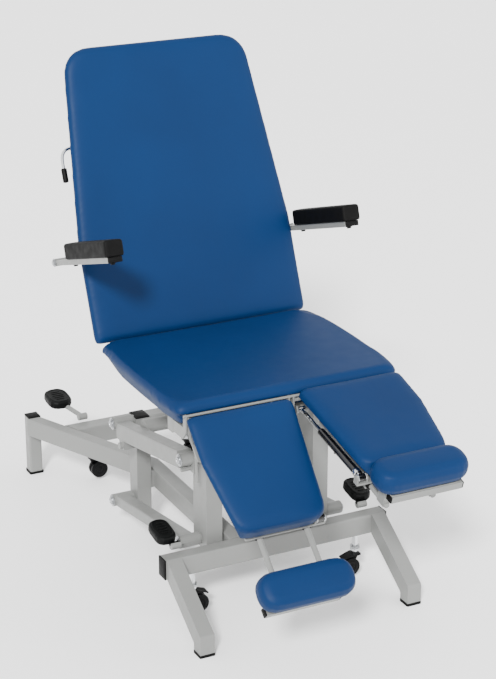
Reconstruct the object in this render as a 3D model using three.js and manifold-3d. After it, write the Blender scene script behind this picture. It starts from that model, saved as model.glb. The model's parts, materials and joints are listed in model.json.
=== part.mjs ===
// Podiatry treatment table: steel base, parallelogram lift, seat, tilting backrest,
// two hinged leg sections with sliding foot supports, armrests, pedals and castors.
// Millimetres. X runs across the table, +Y towards the head end, +Z up.
import * as THREE from 'three';
import { mergeVertices } from 'three/addons/utils/BufferGeometryUtils.js';
import { ConvexGeometry } from 'three/addons/geometries/ConvexGeometry.js';
import Module from 'manifold-3d';

const wasm = await Module();
wasm.setup();

// ---- driving dimensions -------------------------------------------------------------
const ORIGIN_Y = 97.7;            // moves the middle of the whole outline onto y = 0
const GAP = 0.35;               // air left between pieces that meet
const SIDES = [['left', -1], ['right', 1]];

const FOOT_HEIGHT = 7;          // rubber feet
const TUBE_W = 39;              // base tube section
const BEAM_LOW = 123;
const BEAM_TOP = 177;
const BEAM_MID = (BEAM_LOW + BEAM_TOP) / 2;
const BEAM_HEIGHT = BEAM_TOP - BEAM_LOW;
const TUBE_ROUND = 5;
const FRONT_BEAM = { y: -376.5, half: 312 };
const FRONT_FOOT_Y = -585.5;
const FRONT_LEG_X = 290.5;
const SIDE_BEAM = { inner: 78, outer: 120, front: -356.6, rear: 175 };
const REAR_POST = { x: 283, front: 594, rear: 632, top: 176 };
const REAR_BEAM = { front: 460, rear: 508 };

const LINK = 438;               // parallelogram link, pivot to pivot
const LINK_RISE = 8.9;          // link angle at rest, degrees above level
const PIVOT_D = [138, 97];      // lower rear pivot (y, z) on the base
const PIVOT_B = [126, 329];     // upper rear pivot on the base
const UPRIGHT = { inner: 132, outer: 173, front: 103, rear: 153, low: 62, top: 338 };
const COLUMN = { inner: 129, outer: 173, front: -335, rear: -258, low: 142, top: 509.7 };
const LINK_INNER = 188;
const LINK_OUTER = 228;
const AXLE_TIP = 238;
const AXLE_R = 9;
const BOSS_R = 17;
const BORE_R = 9.6;

const SEAT_TOP = 600;
const PAD_THICK = 50;
const SEAT = { half: 300, bulge: 318, rear_half: 262, front: -456.5, rear: 34 };
const SEAT_DRAW = 18;           // sides of the seat pad lean in by this much at the base
const BACK_DRAW = 22;           // and those of the back pad
const FRAME_TOP = SEAT_TOP - PAD_THICK - GAP;
const FRAME_LOW = 510;

const BACK_HINGE = [56, 574];
const BACK_LEAN = 22.4;         // degrees the backrest leans back from upright
const BACK_CORNER = [43, 609];  // foot of the backrest's axes on its front face (y, z)
const BACK_LOW = -13;           // the pad reaches this far below those axes
const BACK = { half: 304, top_half: 255, straight: 240, length: 754, thick: 50, corner: 80 };

const LEG_HINGE = [-452, 568];
const LEG_PAD = { inner: 12, outer: 293, end_inner: 31, end_outer: 262, start: 6, length: 311 };
const LEG_LEAN = 27;            // outer side of each leg pad leans in under the top, degrees
const LEG_TOP = 35;             // pad top above the hinge line
const LEG_THICK = 53;
const LEG_BOARD = 5;
const LEG_MID = 150;
const FOOT_RODS = [62, 188];     // distance of the two foot support rods from the middle
const FOOT_ROD_R = 7;
const SLEEVE = 24;
const LEG_DROP = { left: 43, right: 16 };   // degrees each leg section hangs below level
const FOOT_OUT = { left: 104, right: 0 };    // how far each foot support is pulled out
const FOOT_PAD = { half: 121, depth: 92, thick: 56 };

const ARM_RISE = 17.5;          // degrees the armrests rise towards the front
const ARM = { inner: 306, outer: 354, length: 293, thick: 40 };
const ARM_REAR_TOP = [128, 850];
const ARM_BAR = 14;
const ARM_BAR_HALF = 19;
const ARM_PIVOT = [205, 777];

const CASTOR_R = 25;
const CASTOR_CLEAR = 8;         // wheels hang this far above the floor
const CASTOR_TRAIL = 16;
// name, stem x and y, quarter turns of the trailing wheel from the head end towards the right
const CASTORS = [['front_left', -234, -376.5, 1], ['front_right', 234, -376.5, -1],
  ['rear_left', -150, 484, 1], ['rear_right', 150, 484, 1]];
const PEDAL_PAD = { front: [27, 42], rear: [34, 46] };   // half width and half length
// name, hinge x, hinge y, hinge z, pad x, pad y, pad z
const PEDALS = [['front_left', -266, -349, 189, -283, -304, 198],
  ['front_right', 266, -349, 189, 276, -304, 198],
  ['rear_left', -166, 516, 189, -200, 622, 199],
  ['rear_right', 166, 516, 189, 200, 622, 199]];

// ---- colours ------------------------------------------------------------------------
const paint = finish(0xb9bab6, 0.45, 0.1);
const chrome = finish(0xd4d6d8, 0.15, 1.0);
const black = finish(0x17181a, 0.6, 0.0);
const vinyl = finish(0x205688, 0.5, 0.0);

function finish(color, roughness, metalness) {
  return new THREE.MeshStandardMaterial({ color, roughness, metalness });
}

// ---- joining and cutting ------------------------------------------------------------
function solid(geometry) {
  const bare = geometry.clone();
  bare.deleteAttribute('normal');
  bare.deleteAttribute('uv');
  const merged = mergeVertices(bare, 1e-4);
  return new wasm.Manifold(new wasm.Mesh({
    numProp: 3,
    vertProperties: new Float32Array(merged.attributes.position.array),
    triVerts: new Uint32Array(merged.index.array),
  }));
}

function geometryOf(manifold) {
  const mesh = manifold.getMesh();
  const geometry = new THREE.BufferGeometry();
  geometry.setAttribute('position', new THREE.BufferAttribute(mesh.vertProperties, 3));
  geometry.setIndex(new THREE.BufferAttribute(mesh.triVerts, 1));
  geometry.computeVertexNormals();
  return geometry;
}

function join(...geometries) {
  return geometryOf(geometries.map(solid).reduce((a, b) => a.add(b)));
}

function cut(geometry, ...tools) {
  return geometryOf(tools.map(solid).reduce((a, b) => a.subtract(b), solid(geometry)));
}

function keep(geometry, region) {
  return geometryOf(solid(geometry).intersect(solid(region)));
}

// ---- basic shapes -------------------------------------------------------------------
function block(x0, x1, y0, y1, z0, z1) {
  const geometry = new THREE.BoxGeometry(Math.abs(x1 - x0), y1 - y0, z1 - z0);
  return geometry.translate((x0 + x1) / 2, (y0 + y1) / 2, (z0 + z1) / 2);
}

// Outline with rounded corners; points are [x, y] or [x, y, radius].
function outline(points, radius = 0) {
  const shape = new THREE.Shape();
  const at = points.map(([x, y]) => new THREE.Vector2(x, y));
  points.forEach((point, i) => {
    const r = point[2] ?? radius;
    const here = at[i];
    const before = at[(i + at.length - 1) % at.length].clone().sub(here);
    const after = at[(i + 1) % at.length].clone().sub(here);
    const half = Math.acos(before.clone().normalize().dot(after.clone().normalize())) / 2;
    const trim = r / Math.tan(half);
    const from = here.clone().addScaledVector(before.normalize(), trim);
    const to = here.clone().addScaledVector(after.normalize(), trim);
    if (i === 0) shape.moveTo(from.x, from.y);
    else shape.lineTo(from.x, from.y);
    if (r > 0) shape.quadraticCurveTo(here.x, here.y, to.x, to.y);
  });
  shape.closePath();
  return shape;
}

function rectangle(width, height, radius) {
  const x = width / 2;
  const y = height / 2;
  return outline([[-x, -y], [x, -y], [x, y], [-x, y]], radius);
}

function extrude(shape, depth, curveSegments = 2) {
  return new THREE.ExtrudeGeometry(shape, { depth, bevelEnabled: false, curveSegments });
}

// Flat plate in the plan view, from height z0 to z1.
function slab(points, z0, z1, radius = 0, segments = 2) {
  return extrude(outline(points, radius), z1 - z0, segments).translate(0, 0, z0);
}

// Plate seen from the side: points are [y, z], thickness runs from x0 to x1.
function sidePlate(points, x0, x1, radius = 0, segments = 2) {
  const low = Math.min(x0, x1);
  const geometry = extrude(outline(points, radius), Math.abs(x1 - x0), segments);
  const turn = new THREE.Matrix4().makeBasis(
    new THREE.Vector3(0, 1, 0), new THREE.Vector3(0, 0, 1), new THREE.Vector3(1, 0, 0));
  return geometry.applyMatrix4(turn).translate(low, 0, 0);
}

// Square tube from a to b, its width measured along the side direction.
function tube(a, b, width, height, side = [1, 0, 0], radius = TUBE_ROUND) {
  const from = new THREE.Vector3(...a);
  const along = new THREE.Vector3(...b).sub(from);
  const length = along.length();
  const z = along.normalize();
  const y = z.clone().cross(new THREE.Vector3(...side)).normalize();
  const x = y.clone().cross(z);
  const place = new THREE.Matrix4().makeBasis(x, y, z).setPosition(from);
  return extrude(rectangle(width, height, radius), length).applyMatrix4(place);
}

function rod(a, b, radius, segments = 12, endRadius = radius) {
  const from = new THREE.Vector3(...a);
  const to = new THREE.Vector3(...b);
  const along = to.clone().sub(from);
  const turn = new THREE.Quaternion().setFromUnitVectors(
    new THREE.Vector3(0, 1, 0), along.clone().normalize());
  return new THREE.CylinderGeometry(endRadius, radius, along.length(), segments)
    .applyQuaternion(turn)
    .translate((from.x + to.x) / 2, (from.y + to.y) / 2, (from.z + to.z) / 2);
}

// Rod lying across the table at (y, z).
function pin(x0, x1, [y, z], radius, segments = 12) {
  return rod([Math.min(x0, x1), y, z], [Math.max(x0, x1), y, z], radius, segments);
}

// Upholstered pad: plan outline with softened top and bottom edges.
function cushion(points, thick, soften, corner, segments = 4) {
  return new THREE.ExtrudeGeometry(outline(points, corner), {
    depth: thick - 2 * soften, bevelEnabled: true, bevelThickness: soften,
    bevelSize: soften, bevelOffset: -soften, bevelSegments: 2, curveSegments: segments,
  }).translate(0, 0, soften);
}

// Pad with a convex plan outline: soft top edge, sides drawn in towards a smaller base.
function drawnPad(points, thick, soften, draw, segments = 4) {
  const levels = [[draw + 4, 0], [draw, 5], [0, thick - soften], [soften * 0.3, thick - soften * 0.3],
    [soften, thick]];
  const edge = outline(points).getPoints(segments);
  const box = new THREE.Box2().setFromPoints(edge);
  const middle = box.getCenter(new THREE.Vector2());
  const half = box.getSize(new THREE.Vector2()).divideScalar(2);
  return new ConvexGeometry(levels.flatMap(([inset, z]) => edge.map((p) => new THREE.Vector3(
    middle.x + (p.x - middle.x) * (1 - inset / half.x),
    middle.y + (p.y - middle.y) * (1 - inset / half.y), z))));
}

function rotated([y, z], degrees) {
  const a = THREE.MathUtils.degToRad(degrees);
  return [y * Math.cos(a) - z * Math.sin(a), y * Math.sin(a) + z * Math.cos(a)];
}

function offset(a, b, scale = 1) {
  return [a[0] + b[0] * scale, a[1] + b[1] * scale];
}

function mirrored(points, side) {
  const flipped = points.map(([x, ...rest]) => [side * x, ...rest]);
  return side < 0 ? flipped.reverse() : flipped;
}

const linkStep = rotated([-LINK, 0], -LINK_RISE);
const PIVOT_E = offset(PIVOT_D, linkStep);
const PIVOT_A = offset(PIVOT_B, linkStep);

const table = new THREE.Group();
table.position.y = ORIGIN_Y;

function add(name, geometry, material, parent = table) {
  const mesh = new THREE.Mesh(geometry, material);
  mesh.name = name;
  parent.add(mesh);
}

// Group whose local axes start at a hinge (y, z) and are turned about X.
function hingedGroup([y, z], degrees) {
  const group = new THREE.Group();
  group.position.set(0, y, z);
  group.rotation.x = THREE.MathUtils.degToRad(degrees);
  table.add(group);
  return group;
}

// ---- base ---------------------------------------------------------------------------
function castorBore(x, y) {
  return rod([x, y, BEAM_LOW - 5], [x, y, BEAM_LOW + 36], 9.2, 12);
}

function boresBetween(low, high) {
  return CASTORS.filter(([, , y]) => y > low && y < high).map(([, x, y]) => castorBore(x, y));
}

function frontCrossBeam() {
  const { y, half } = FRONT_BEAM;
  const beam = tube([-half, y, BEAM_MID], [half, y, BEAM_MID], TUBE_W, BEAM_HEIGHT, [0, 1, 0]);
  const lug = [[y + 10, 128], [y + 60, 134, 14], [y + 60, 166, 14], [y + 10, 172]];
  const lugs = [-34, 34].map((x) => sidePlate(lug, x - 3, x + 3));
  const spindle = pin(-44, 44, LIFT_FOOT, 6);
  return cut(join(beam, ...lugs, spindle), ...boresBetween(-500, 0));
}

function frontLeg(side) {
  const rear = FRONT_BEAM.y - TUBE_W / 2 - GAP;
  const slope = (BEAM_TOP - 56) / (rear - FRONT_FOOT_Y);
  const heel = FRONT_FOOT_Y + 37;
  const profile = [[rear, BEAM_TOP], [FRONT_FOOT_Y, 56, 8], [FRONT_FOOT_Y, FOOT_HEIGHT + GAP],
    [heel, FOOT_HEIGHT + GAP], [heel, BEAM_LOW - slope * (rear - heel), 8], [rear, BEAM_LOW]];
  const x = side * FRONT_LEG_X;
  return sidePlate(profile, x - TUBE_W / 2, x + TUBE_W / 2);
}

function sideBeam(side) {
  const { inner, outer, front, rear } = SIDE_BEAM;
  const x = side * (inner + outer) / 2;
  const beam = tube([x, front, BEAM_MID], [x, rear, BEAM_MID], outer - inner, BEAM_HEIGHT);
  const u = UPRIGHT;
  const post = block(side * u.inner, side * u.outer, u.front, u.rear, u.low, u.top);
  const spacer = block(side * (outer - 2), side * (u.inner + 2), u.front + 5, u.rear - 5, 127, 173);
  const axles = [PIVOT_D, PIVOT_B].map((at) => pivotAxle(side, u.outer - 2, at));
  return join(beam, post, spacer, ...axles);
}

function pivotAxle(side, start, at) {
  return join(pin(side * start, side * AXLE_TIP, at, AXLE_R),
    pin(side * start, side * (LINK_INNER - 11), at, 14));
}

function rearLeg(side) {
  const slope = (305 - 120) / (594 - 175);
  const centre = (y) => side * ((SIDE_BEAM.inner + SIDE_BEAM.outer) / 2 + slope * (y - 175));
  const beam = tube([centre(140), 140, BEAM_MID], [centre(640), 640, BEAM_MID], TUBE_W - 1,
    BEAM_HEIGHT);
  const span = block(-400, 400, SIDE_BEAM.rear + GAP, REAR_POST.front + 3, 0, 400);
  const { x, front, rear, top } = REAR_POST;
  const post = tube([side * x, (front + rear) / 2, FOOT_HEIGHT + GAP],
    [side * x, (front + rear) / 2, top], TUBE_W - 1, rear - front);
  return join(keep(beam, span), post);
}

function rearCrossBeam() {
  const { front, rear } = REAR_BEAM;
  const y = (front + rear) / 2;
  const inside = (at) => 78.4 + 0.4415 * (at - 175) - 1.2;
  const beam = tube([-240, y, BEAM_MID], [240, y, BEAM_MID], rear - front, BEAM_HEIGHT, [0, 1, 0]);
  const region = slab([[-inside(front - 1), front - 1], [inside(front - 1), front - 1],
    [inside(rear + 1), rear + 1], [-inside(rear + 1), rear + 1]], 100, 200);
  return cut(keep(beam, region), ...boresBetween(0, 600));
}

function foot(x, y, depth) {
  const half = TUBE_W / 2 + 1.5;
  return slab([[x - half, y - depth / 2], [x + half, y - depth / 2],
    [x + half, y + depth / 2], [x - half, y + depth / 2]], 0, FOOT_HEIGHT, 4);
}

function buildBase() {
  add('front_cross_beam', frontCrossBeam(), paint);
  add('rear_cross_beam', rearCrossBeam(), paint);
  for (const [name, side] of SIDES) {
    add(`front_leg_${name}`, frontLeg(side), paint);
    add(`side_beam_${name}`, sideBeam(side), paint);
    add(`rear_leg_${name}`, rearLeg(side), paint);
    add(`front_foot_${name}`, foot(side * FRONT_LEG_X, FRONT_FOOT_Y + 18.5, 40), black);
    add(`rear_foot_${name}`, foot(side * REAR_POST.x, 613, 41), black);
  }
}

// ---- pedals and castors -------------------------------------------------------------
function pedal([name, x, y, z, padX, padY, padZ]) {
  const lift = Math.atan2(padZ - z, padY - y);
  const [w, h] = PEDAL_PAD[name.split('_')[0]];
  const pad = cushion([[-w, -h], [w, -h], [w, h], [-w, h]], 24, 6, w - 1, 4)
    .rotateX(lift).translate(padX, padY, padZ);
  const arm = rod([x, y, z], [padX, padY, padZ + 6], 7, 12);
  const knuckle = pin(x - 13, x + 13, [y, z], 10, 14);
  return join(knuckle, arm, pad);
}

function castorStem(x, y) {
  const top = BEAM_LOW + 22;
  return join(rod([x, y, 70], [x, y, top], 8, 12), rod([x, y, 76], [x, y, 82], 12, 12));
}

// Castors are drawn with the stem on the origin, trailing towards +Y.
const CASTOR_AXLE = [CASTOR_TRAIL, CASTOR_CLEAR + CASTOR_R];

function castorYoke() {
  const top = 69.6;
  const web = [[-9, 62], [-9, top], [9, top], offset(CASTOR_AXLE, [11, 20]),
    offset(CASTOR_AXLE, [11, -9]), offset(CASTOR_AXLE, [-9, -9])];
  const tail = CASTOR_AXLE[0] + 24;
  const cap = sidePlate([[-11, 63], [-11, top], [11, top], [tail, 60], [tail, 56],
    [tail - 12, 61.5]], -13, 13, 1.5);
  return cut(join(sidePlate(web, -3, 3, 2), cap), pin(-20, 20, CASTOR_AXLE, 4.6, 12));
}

function castorWheels() {
  return join(pin(-13, -3.6, CASTOR_AXLE, CASTOR_R, 20), pin(3.6, 13, CASTOR_AXLE, CASTOR_R, 20),
    pin(-8, 8, CASTOR_AXLE, 4, 12));
}

function buildPedalsAndCastors() {
  for (const spec of PEDALS) add(`pedal_${spec[0]}`, pedal(spec), black);
  for (const [name, x, y, turn] of CASTORS) {
    add(`castor_stem_${name}`, castorStem(x, y), chrome);
    const swivel = new THREE.Group();
    swivel.position.set(x, y, 0);
    swivel.rotation.z = -turn * Math.PI / 2;
    table.add(swivel);
    add(`castor_yoke_${name}`, castorYoke(), black, swivel);
    add(`castor_wheels_${name}`, castorWheels(), black, swivel);
  }
}

// ---- lift ---------------------------------------------------------------------------
const LIFT_FOOT = [-325, 150];
const LIFT_CRANK = 110;         // lift tube distance from the upper rear pivot
const LIFT_TUBE = offset(PIVOT_B, rotated([-LIFT_CRANK, 0], -LINK_RISE));

function boss(side, at) {
  return pin(side * (LINK_INNER - 10), side * (LINK_OUTER + 4), at, BOSS_R, 18);
}

function bore(side, at) {
  return pin(side * 100, side * 300, at, BORE_R, 12);
}

function lowerLink(side) {
  const x = side * (LINK_INNER + LINK_OUTER) / 2;
  const bar = tube([x, ...PIVOT_E], [x, ...PIVOT_D], LINK_OUTER - LINK_INNER, 30);
  return cut(join(bar, boss(side, PIVOT_E), boss(side, PIVOT_D)),
    bore(side, PIVOT_E), bore(side, PIVOT_D));
}

function upperLink(side) {
  const x = side * (LINK_INNER + LINK_OUTER) / 2;
  const bar = tube([x, ...offset(PIVOT_A, [22, -8.5])], [x, ...offset(PIVOT_B, [-16, -16])],
    LINK_OUTER - LINK_INNER, 46);
  const lug = sidePlate([offset(PIVOT_A, [-14, 0]), offset(PIVOT_A, [-20, -36]),
    offset(PIVOT_A, [30, -36]), offset(PIVOT_A, [30, 0])], side * LINK_INNER, side * (LINK_INNER + 14),
  3);
  const stop = pin(side * (LINK_INNER - 4), side * (LINK_OUTER + 6),
    offset(PIVOT_B, [-48, -46]), 9, 16);
  const stopLug = sidePlate([offset(PIVOT_B, [-66, -20]), offset(PIVOT_B, [-60, -56]),
    offset(PIVOT_B, [-36, -56]), offset(PIVOT_B, [-24, -20])],
  side * (LINK_INNER + 2), side * (LINK_OUTER - 2), 4);
  const bolt = pin(side * (LINK_INNER + 2), side * (LINK_OUTER + 2), offset(PIVOT_A, [-2, -27]), 5, 12);
  const guide = rod([side * (LINK_INNER + 8), ...offset(PIVOT_A, [-26, -58])],
    [side * (LINK_INNER + 8), ...offset(PIVOT_A, [-14, 42])], 4.5, 12);
  const guideCap = rod([side * (LINK_INNER + 8), ...offset(PIVOT_A, [-14.6, 37])],
    [side * (LINK_INNER + 8), ...offset(PIVOT_A, [-14, 42])], 8, 12);
  const body = join(bar, boss(side, PIVOT_A), boss(side, PIVOT_B), lug, stopLug, stop, bolt,
    guide, guideCap);
  return cut(body, bore(side, PIVOT_A), bore(side, PIVOT_B));
}

function liftTube() {
  const reach = LINK_INNER - GAP;
  const lugs = [-34, 34].map((x) => sidePlate([offset(LIFT_TUBE, [-30, 16]),
    offset(LIFT_TUBE, [-30, -30]), offset(LIFT_TUBE, [4, -30]), offset(LIFT_TUBE, [16, 16])],
  x - 3, x + 3, 6));
  return join(pin(-reach, reach, offset(LIFT_TUBE, [0, 8]), 19, 24), ...lugs);
}

function actuatorBarrel() {
  const [dy, dz] = [LIFT_TUBE[0] - LIFT_FOOT[0], LIFT_TUBE[1] - LIFT_FOOT[1]];
  const at = (t) => [0, LIFT_FOOT[0] + dy * t, LIFT_FOOT[1] + dz * t];
  const motor = rod([0, ...offset(LIFT_FOOT, [30, 46])], [0, ...offset(LIFT_FOOT, [118, 100])], 24, 20);
  const eye = pin(-15, 15, LIFT_FOOT, 15, 16);
  const body = join(rod(at(0.02), at(0.1), 14, 12), rod(at(0.08), at(0.72), 22, 20), motor, eye);
  return cut(body, pin(-50, 50, LIFT_FOOT, 6.8, 10), rod(at(0.3), at(0.8), 12, 12));
}

function actuatorRod() {
  const [dy, dz] = [LIFT_TUBE[0] - LIFT_FOOT[0], LIFT_TUBE[1] - LIFT_FOOT[1]];
  const at = (t) => [0, LIFT_FOOT[0] + dy * t, LIFT_FOOT[1] + dz * t];
  return join(rod(at(0.37), at(0.9), 10, 20), pin(-13, 13, at(0.915).slice(1), 11, 18));
}

function column(side) {
  const c = COLUMN;
  const axles = [PIVOT_E, PIVOT_A].map((at) => pivotAxle(side, c.outer - 2, at));
  const post = block(side * c.inner, side * c.outer, c.front, c.rear, c.low, c.top);
  const brace = sidePlate([[c.rear - 5, 380], [c.rear - 5, 428], [-148, c.top],
    [-84, c.top]], side * (c.inner + 4), side * (c.outer - 4));
  return join(post, brace, ...axles);
}

function buildLift() {
  for (const [name, side] of SIDES) {
    add(`lower_link_${name}`, lowerLink(side), paint);
    add(`upper_link_${name}`, upperLink(side), paint);
    add(`lift_column_${name}`, column(side), paint);
  }
  add('lift_tube', liftTube(), paint);
  add('actuator_barrel', actuatorBarrel(), black);
  add('actuator_rod', actuatorRod(), chrome);
}

// ---- seat ---------------------------------------------------------------------------
const STRUT_SEAT = [-447, 537];  // seat end of each leg section's gas strut
const STRUT_LEG = [-306, -8];    // leg end, in the leg section's own axes
const STRUT_X = 34;
const FRONT_RAIL = [-454.5, 579.5];
const SEAT_UNDERCUT = 584;       // underside of the seat pad over the front rail
const SEAT_EAR = 281.5;          // middle of the outer leg hinge ears
const LEG_EAR = [273.5, 277.5];
const BACK_STRUT_SEAT = [60, 440];
const BACK_STRUT_X = 60;

function seatFrame() {
  const mid = (FRAME_LOW + FRAME_TOP) / 2;
  const high = FRAME_TOP - FRAME_LOW;
  const rails = SIDES.map(([, s]) => tube([s * 151, -392, mid], [s * 151, 44, mid], 40, high));
  const front = tube([-284, -370, mid], [284, -370, mid], 30, high, [0, 1, 0]);
  const rear = tube([-232, 4, mid], [232, 4, mid], 30, high, [0, 1, 0]);
  const ears = [-SEAT_EAR, -6, 6, SEAT_EAR].map((x) => sidePlate([[-378, 516], [-378, 546],
    [-443, 548], [-443, 583.5, 5], [-459, 583.5, 6], [-459, 540, 10], [-440, 516]], x - 2, x + 2));
  const hingeRods = SIDES.map(([, s]) => pin(s * 5, s * SEAT_EAR, LEG_HINGE, 4.5, 12));
  const frontRail = pin(-SEAT_EAR - 6, SEAT_EAR + 6, FRONT_RAIL, 3.5, 12);
  const lugs = [];
  for (const x of [-STRUT_X, STRUT_X]) {
    for (const dx of [-13, 13]) {
      lugs.push(sidePlate([[-378, 516], [-378, 545], [-449, 547, 6], [-454, 531, 6], [-438, 517]],
        x + dx - 2, x + dx + 2));
    }
  }
  const backEars = [];
  for (const x of [-196, 196]) {
    backEars.push(sidePlate([[0, 514], [0, 548], [45, 548], [45, 584, 8], [66, 584, 8],
      [66, 553], [34, 514]], x - 4, x + 4));
  }
  const hanger = [-1, 1].map((s) => sidePlate([[-8, 514], [17, 514], [72, 452, 9], [72, 428, 9],
    [48, 428, 9]], BACK_STRUT_X + s * 17 - 2.5, BACK_STRUT_X + s * 17 + 2.5));
  const hangerPin = pin(BACK_STRUT_X - 19, BACK_STRUT_X + 19, BACK_STRUT_SEAT, 5, 14);
  const backPins = [-1, 1].map((s) => pin(s * 193, s * 218, BACK_HINGE, 6, 16));
  return join(...rails, front, rear, ...ears, ...hingeRods, frontRail, ...lugs, ...backEars, ...hanger,
    hangerPin, ...backPins);
}

function seatPad() {
  const { half, bulge, rear_half: behind, front, rear } = SEAT;
  const right = [[half, front, 26], [bulge, -310, 200], [bulge, -70, 90], [behind, rear, 30]];
  const left = right.map(([x, y, radius]) => [-x, y, radius]).reverse();
  const pad = drawnPad([...right, ...left], PAD_THICK, 12, SEAT_DRAW);
  const low = SEAT_TOP - PAD_THICK;
  const undercut = sidePlate([[front - 20, SEAT_UNDERCUT], [-441, SEAT_UNDERCUT], [-441, low - 5],
    [front - 20, low - 5]], -320, 320);
  return cut(pad.translate(0, 0, low), undercut);
}

// ---- backrest -----------------------------------------------------------------------
// Local axes of the backrest: x across, y up along its front face, z out of the front.
function backGroup() {
  const group = new THREE.Group();
  group.position.set(0, ...BACK_CORNER);
  group.rotation.x = THREE.MathUtils.degToRad(90 - BACK_LEAN);
  table.add(group);
  return group;
}

// Any (y, z) of the table at rest, in the backrest's local (along, out) axes.
function inBack([y, z]) {
  return rotated([y - BACK_CORNER[0], z - BACK_CORNER[1]], BACK_LEAN - 90);
}

function backPad() {
  const { half, top_half: top, straight, length, thick, corner } = BACK;
  const points = [[-half, BACK_LOW, 14], [half, BACK_LOW, 14], [half, straight], [top, length, corner],
    [-top, length, corner], [-half, straight]];
  return drawnPad(points, thick, 11, BACK_DRAW, 8).translate(0, 0, -thick);
}

function backFrame() {
  const back = -BACK.thick - GAP;
  const mid = back - 14;
  const armPivot = inBack(ARM_PIVOT);
  const hinge = inBack(BACK_HINGE);
  const rails = [-1, 1].map((s) => tube([s * 211, -12, mid], [s * 211, 640, mid], 30, 28));
  const cross = [400, 610].map((y) => tube([-200, y, mid], [200, y, mid], 30, 28, [0, 1, 0]));
  const armTube = pin(-298, 298, armPivot, 13, 20);
  const stubs = [-1, 1].map((s) => pin(s * 296, s * 350, armPivot, 7, 16));
  const cheeks = [-1, 1].map((s) => sidePlate([[-30, mid - 14], [40, mid - 14], [40, back],
    [BACK_LOW - 0.6, back], [BACK_LOW - 0.6, hinge[1] + 11], offset(hinge, [-11, 11]),
    offset(hinge, [-11, -14])], s * 202, s * 212));
  const strutEnd = inBack(BACK_STRUT_BACK);
  const strutLugs = [-1, 1].map((s) => sidePlate([[strutEnd[0] - 40, back - 4],
    [strutEnd[0] + 40, back - 4], offset(strutEnd, [14, -14]), offset(strutEnd, [-14, -14])],
  BACK_STRUT_X + s * 17 - 2.5, BACK_STRUT_X + s * 17 + 2.5, 4));
  const strutPlate = tube([-200, strutEnd[0], back - 7], [200, strutEnd[0], back - 7], 60, 14,
    [0, 1, 0], 2);
  const leverClip = block(-246, -232, 494, 518, mid - 12, mid + 12);
  const clipArm = tube([-215, 506, mid], [-240, 506, mid], 20, 16, [0, 1, 0], 2);
  const body = join(...rails, ...cross, armTube, ...stubs, ...cheeks, ...strutLugs, strutPlate,
    leverClip, clipArm);
  const holes = [-1, 1].map((s) => pin(s * 190, s * 230, hinge, 6.6, 18));
  return cut(body, ...holes, rod([-260, 506, mid], [-228, 506, mid], 5.6, 16));
}

function backLever() {
  const depth = -BACK.thick - GAP - 14;
  const bend = new THREE.CatmullRomCurve3([[-229, 506], [-254, 506], [-274, 502], [-285, 490],
    [-288, 474], [-288, 450]].map(([x, y]) => new THREE.Vector3(x, y, depth)));
  const section = new THREE.Shape().absarc(0, 0, 4.6, 0, Math.PI * 2);
  const wire = new THREE.ExtrudeGeometry(section, { steps: 18, curveSegments: 5,
    extrudePath: bend, bevelEnabled: false });
  return join(wire, rod([-288, 452, depth], [-288, 420, depth], 6.5, 14, 5.5));
}

// Gas strut between seat hanger and backrest, drawn in the table's axes at rest.
const BACK_STRUT_BACK = [189, 727];

function strutParts(x, from, to, { barrelEnd, boreStart, rodStart }, sizes) {
  const at = (t) => [x, from[0] + (to[0] - from[0]) * t, from[1] + (to[1] - from[1]) * t];
  const { barrel, bore: hole, shaft, eye, wide } = sizes;
  const tail = cut(join(rod(at(0.04), at(barrelEnd), barrel, 16), pin(x - wide, x + wide, from, eye, 14),
    rod(at(0.01), at(0.06), barrel * 0.6, 10)), rod(at(boreStart), at(barrelEnd + 0.1), hole, 10),
  pin(x - 40, x + 40, from, sizes.pin, 10));
  const tip = join(rod(at(rodStart), at(0.985), shaft, 12), pin(x - wide, x + wide, to, eye * 0.8, 14));
  return [tail, tip];
}

// ---- leg sections -------------------------------------------------------------------
function legPad(side) {
  const { inner, outer, end_inner: endIn, end_outer: endOut, start, length } = LEG_PAD;
  const end = -start - length;
  const points = mirrored([[inner, -start, 20], [endIn, end, 42], [endOut, end, 50], [outer, -130],
    [outer, -start, 20]], side);
  const low = LEG_TOP - LEG_THICK;
  const pad = cushion(points, LEG_THICK, 11, 0).translate(0, 0, low);
  const under = sidePlate([[4, 12], [-start - 4, 9.5], [-start - 5, 0], [-start - 28, low - 1],
    [4, low - 1]], side * 5, side * 300);
  const relief = tube([side * (inner - 3), 10, low - 1.2], [side * (endIn - 1), end - 10, low - 1.2],
    60, 60, [1, 0, 1], 0);
  const lean = LEG_THICK * Math.tan(THREE.MathUtils.degToRad(LEG_LEAN));
  const wedge = sideWedge(side, outer, lean, low);
  const notch = pin(side * (LEG_EAR[0] - 2), side * (outer + 10), [0, 0], 18.5, 16);
  const lugRoom = sidePlate([[4, 12], [-start - 4, 9.5], [-18, 0], [-56, low - 1], [4, low - 1]],
    side * (STRUT_X + 9), side * (STRUT_X + 17));
  return cut(pad, under, relief, notch, wedge, lugRoom);
}

// Material outside the leaning outer face of a leg pad, following the pad's plan outline.
function sideWedge(side, outer, lean, low) {
  const { end_outer: endOut, start, length } = LEG_PAD;
  const face = (x, y) => {
    const shape = [[x - lean, low - 1], [x, low + LEG_THICK], [x + 60, low + LEG_THICK],
      [x + 60, low - 1]];
    return shape.map(([a, b]) => new THREE.Vector3(side * a, y, b));
  };
  const ends = [face(outer, 20), face(outer, -130), face(endOut, -start - length - 20)];
  return join(...[0, 1].map((i) => new ConvexGeometry([...ends[i], ...ends[i + 1]])));
}

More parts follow.
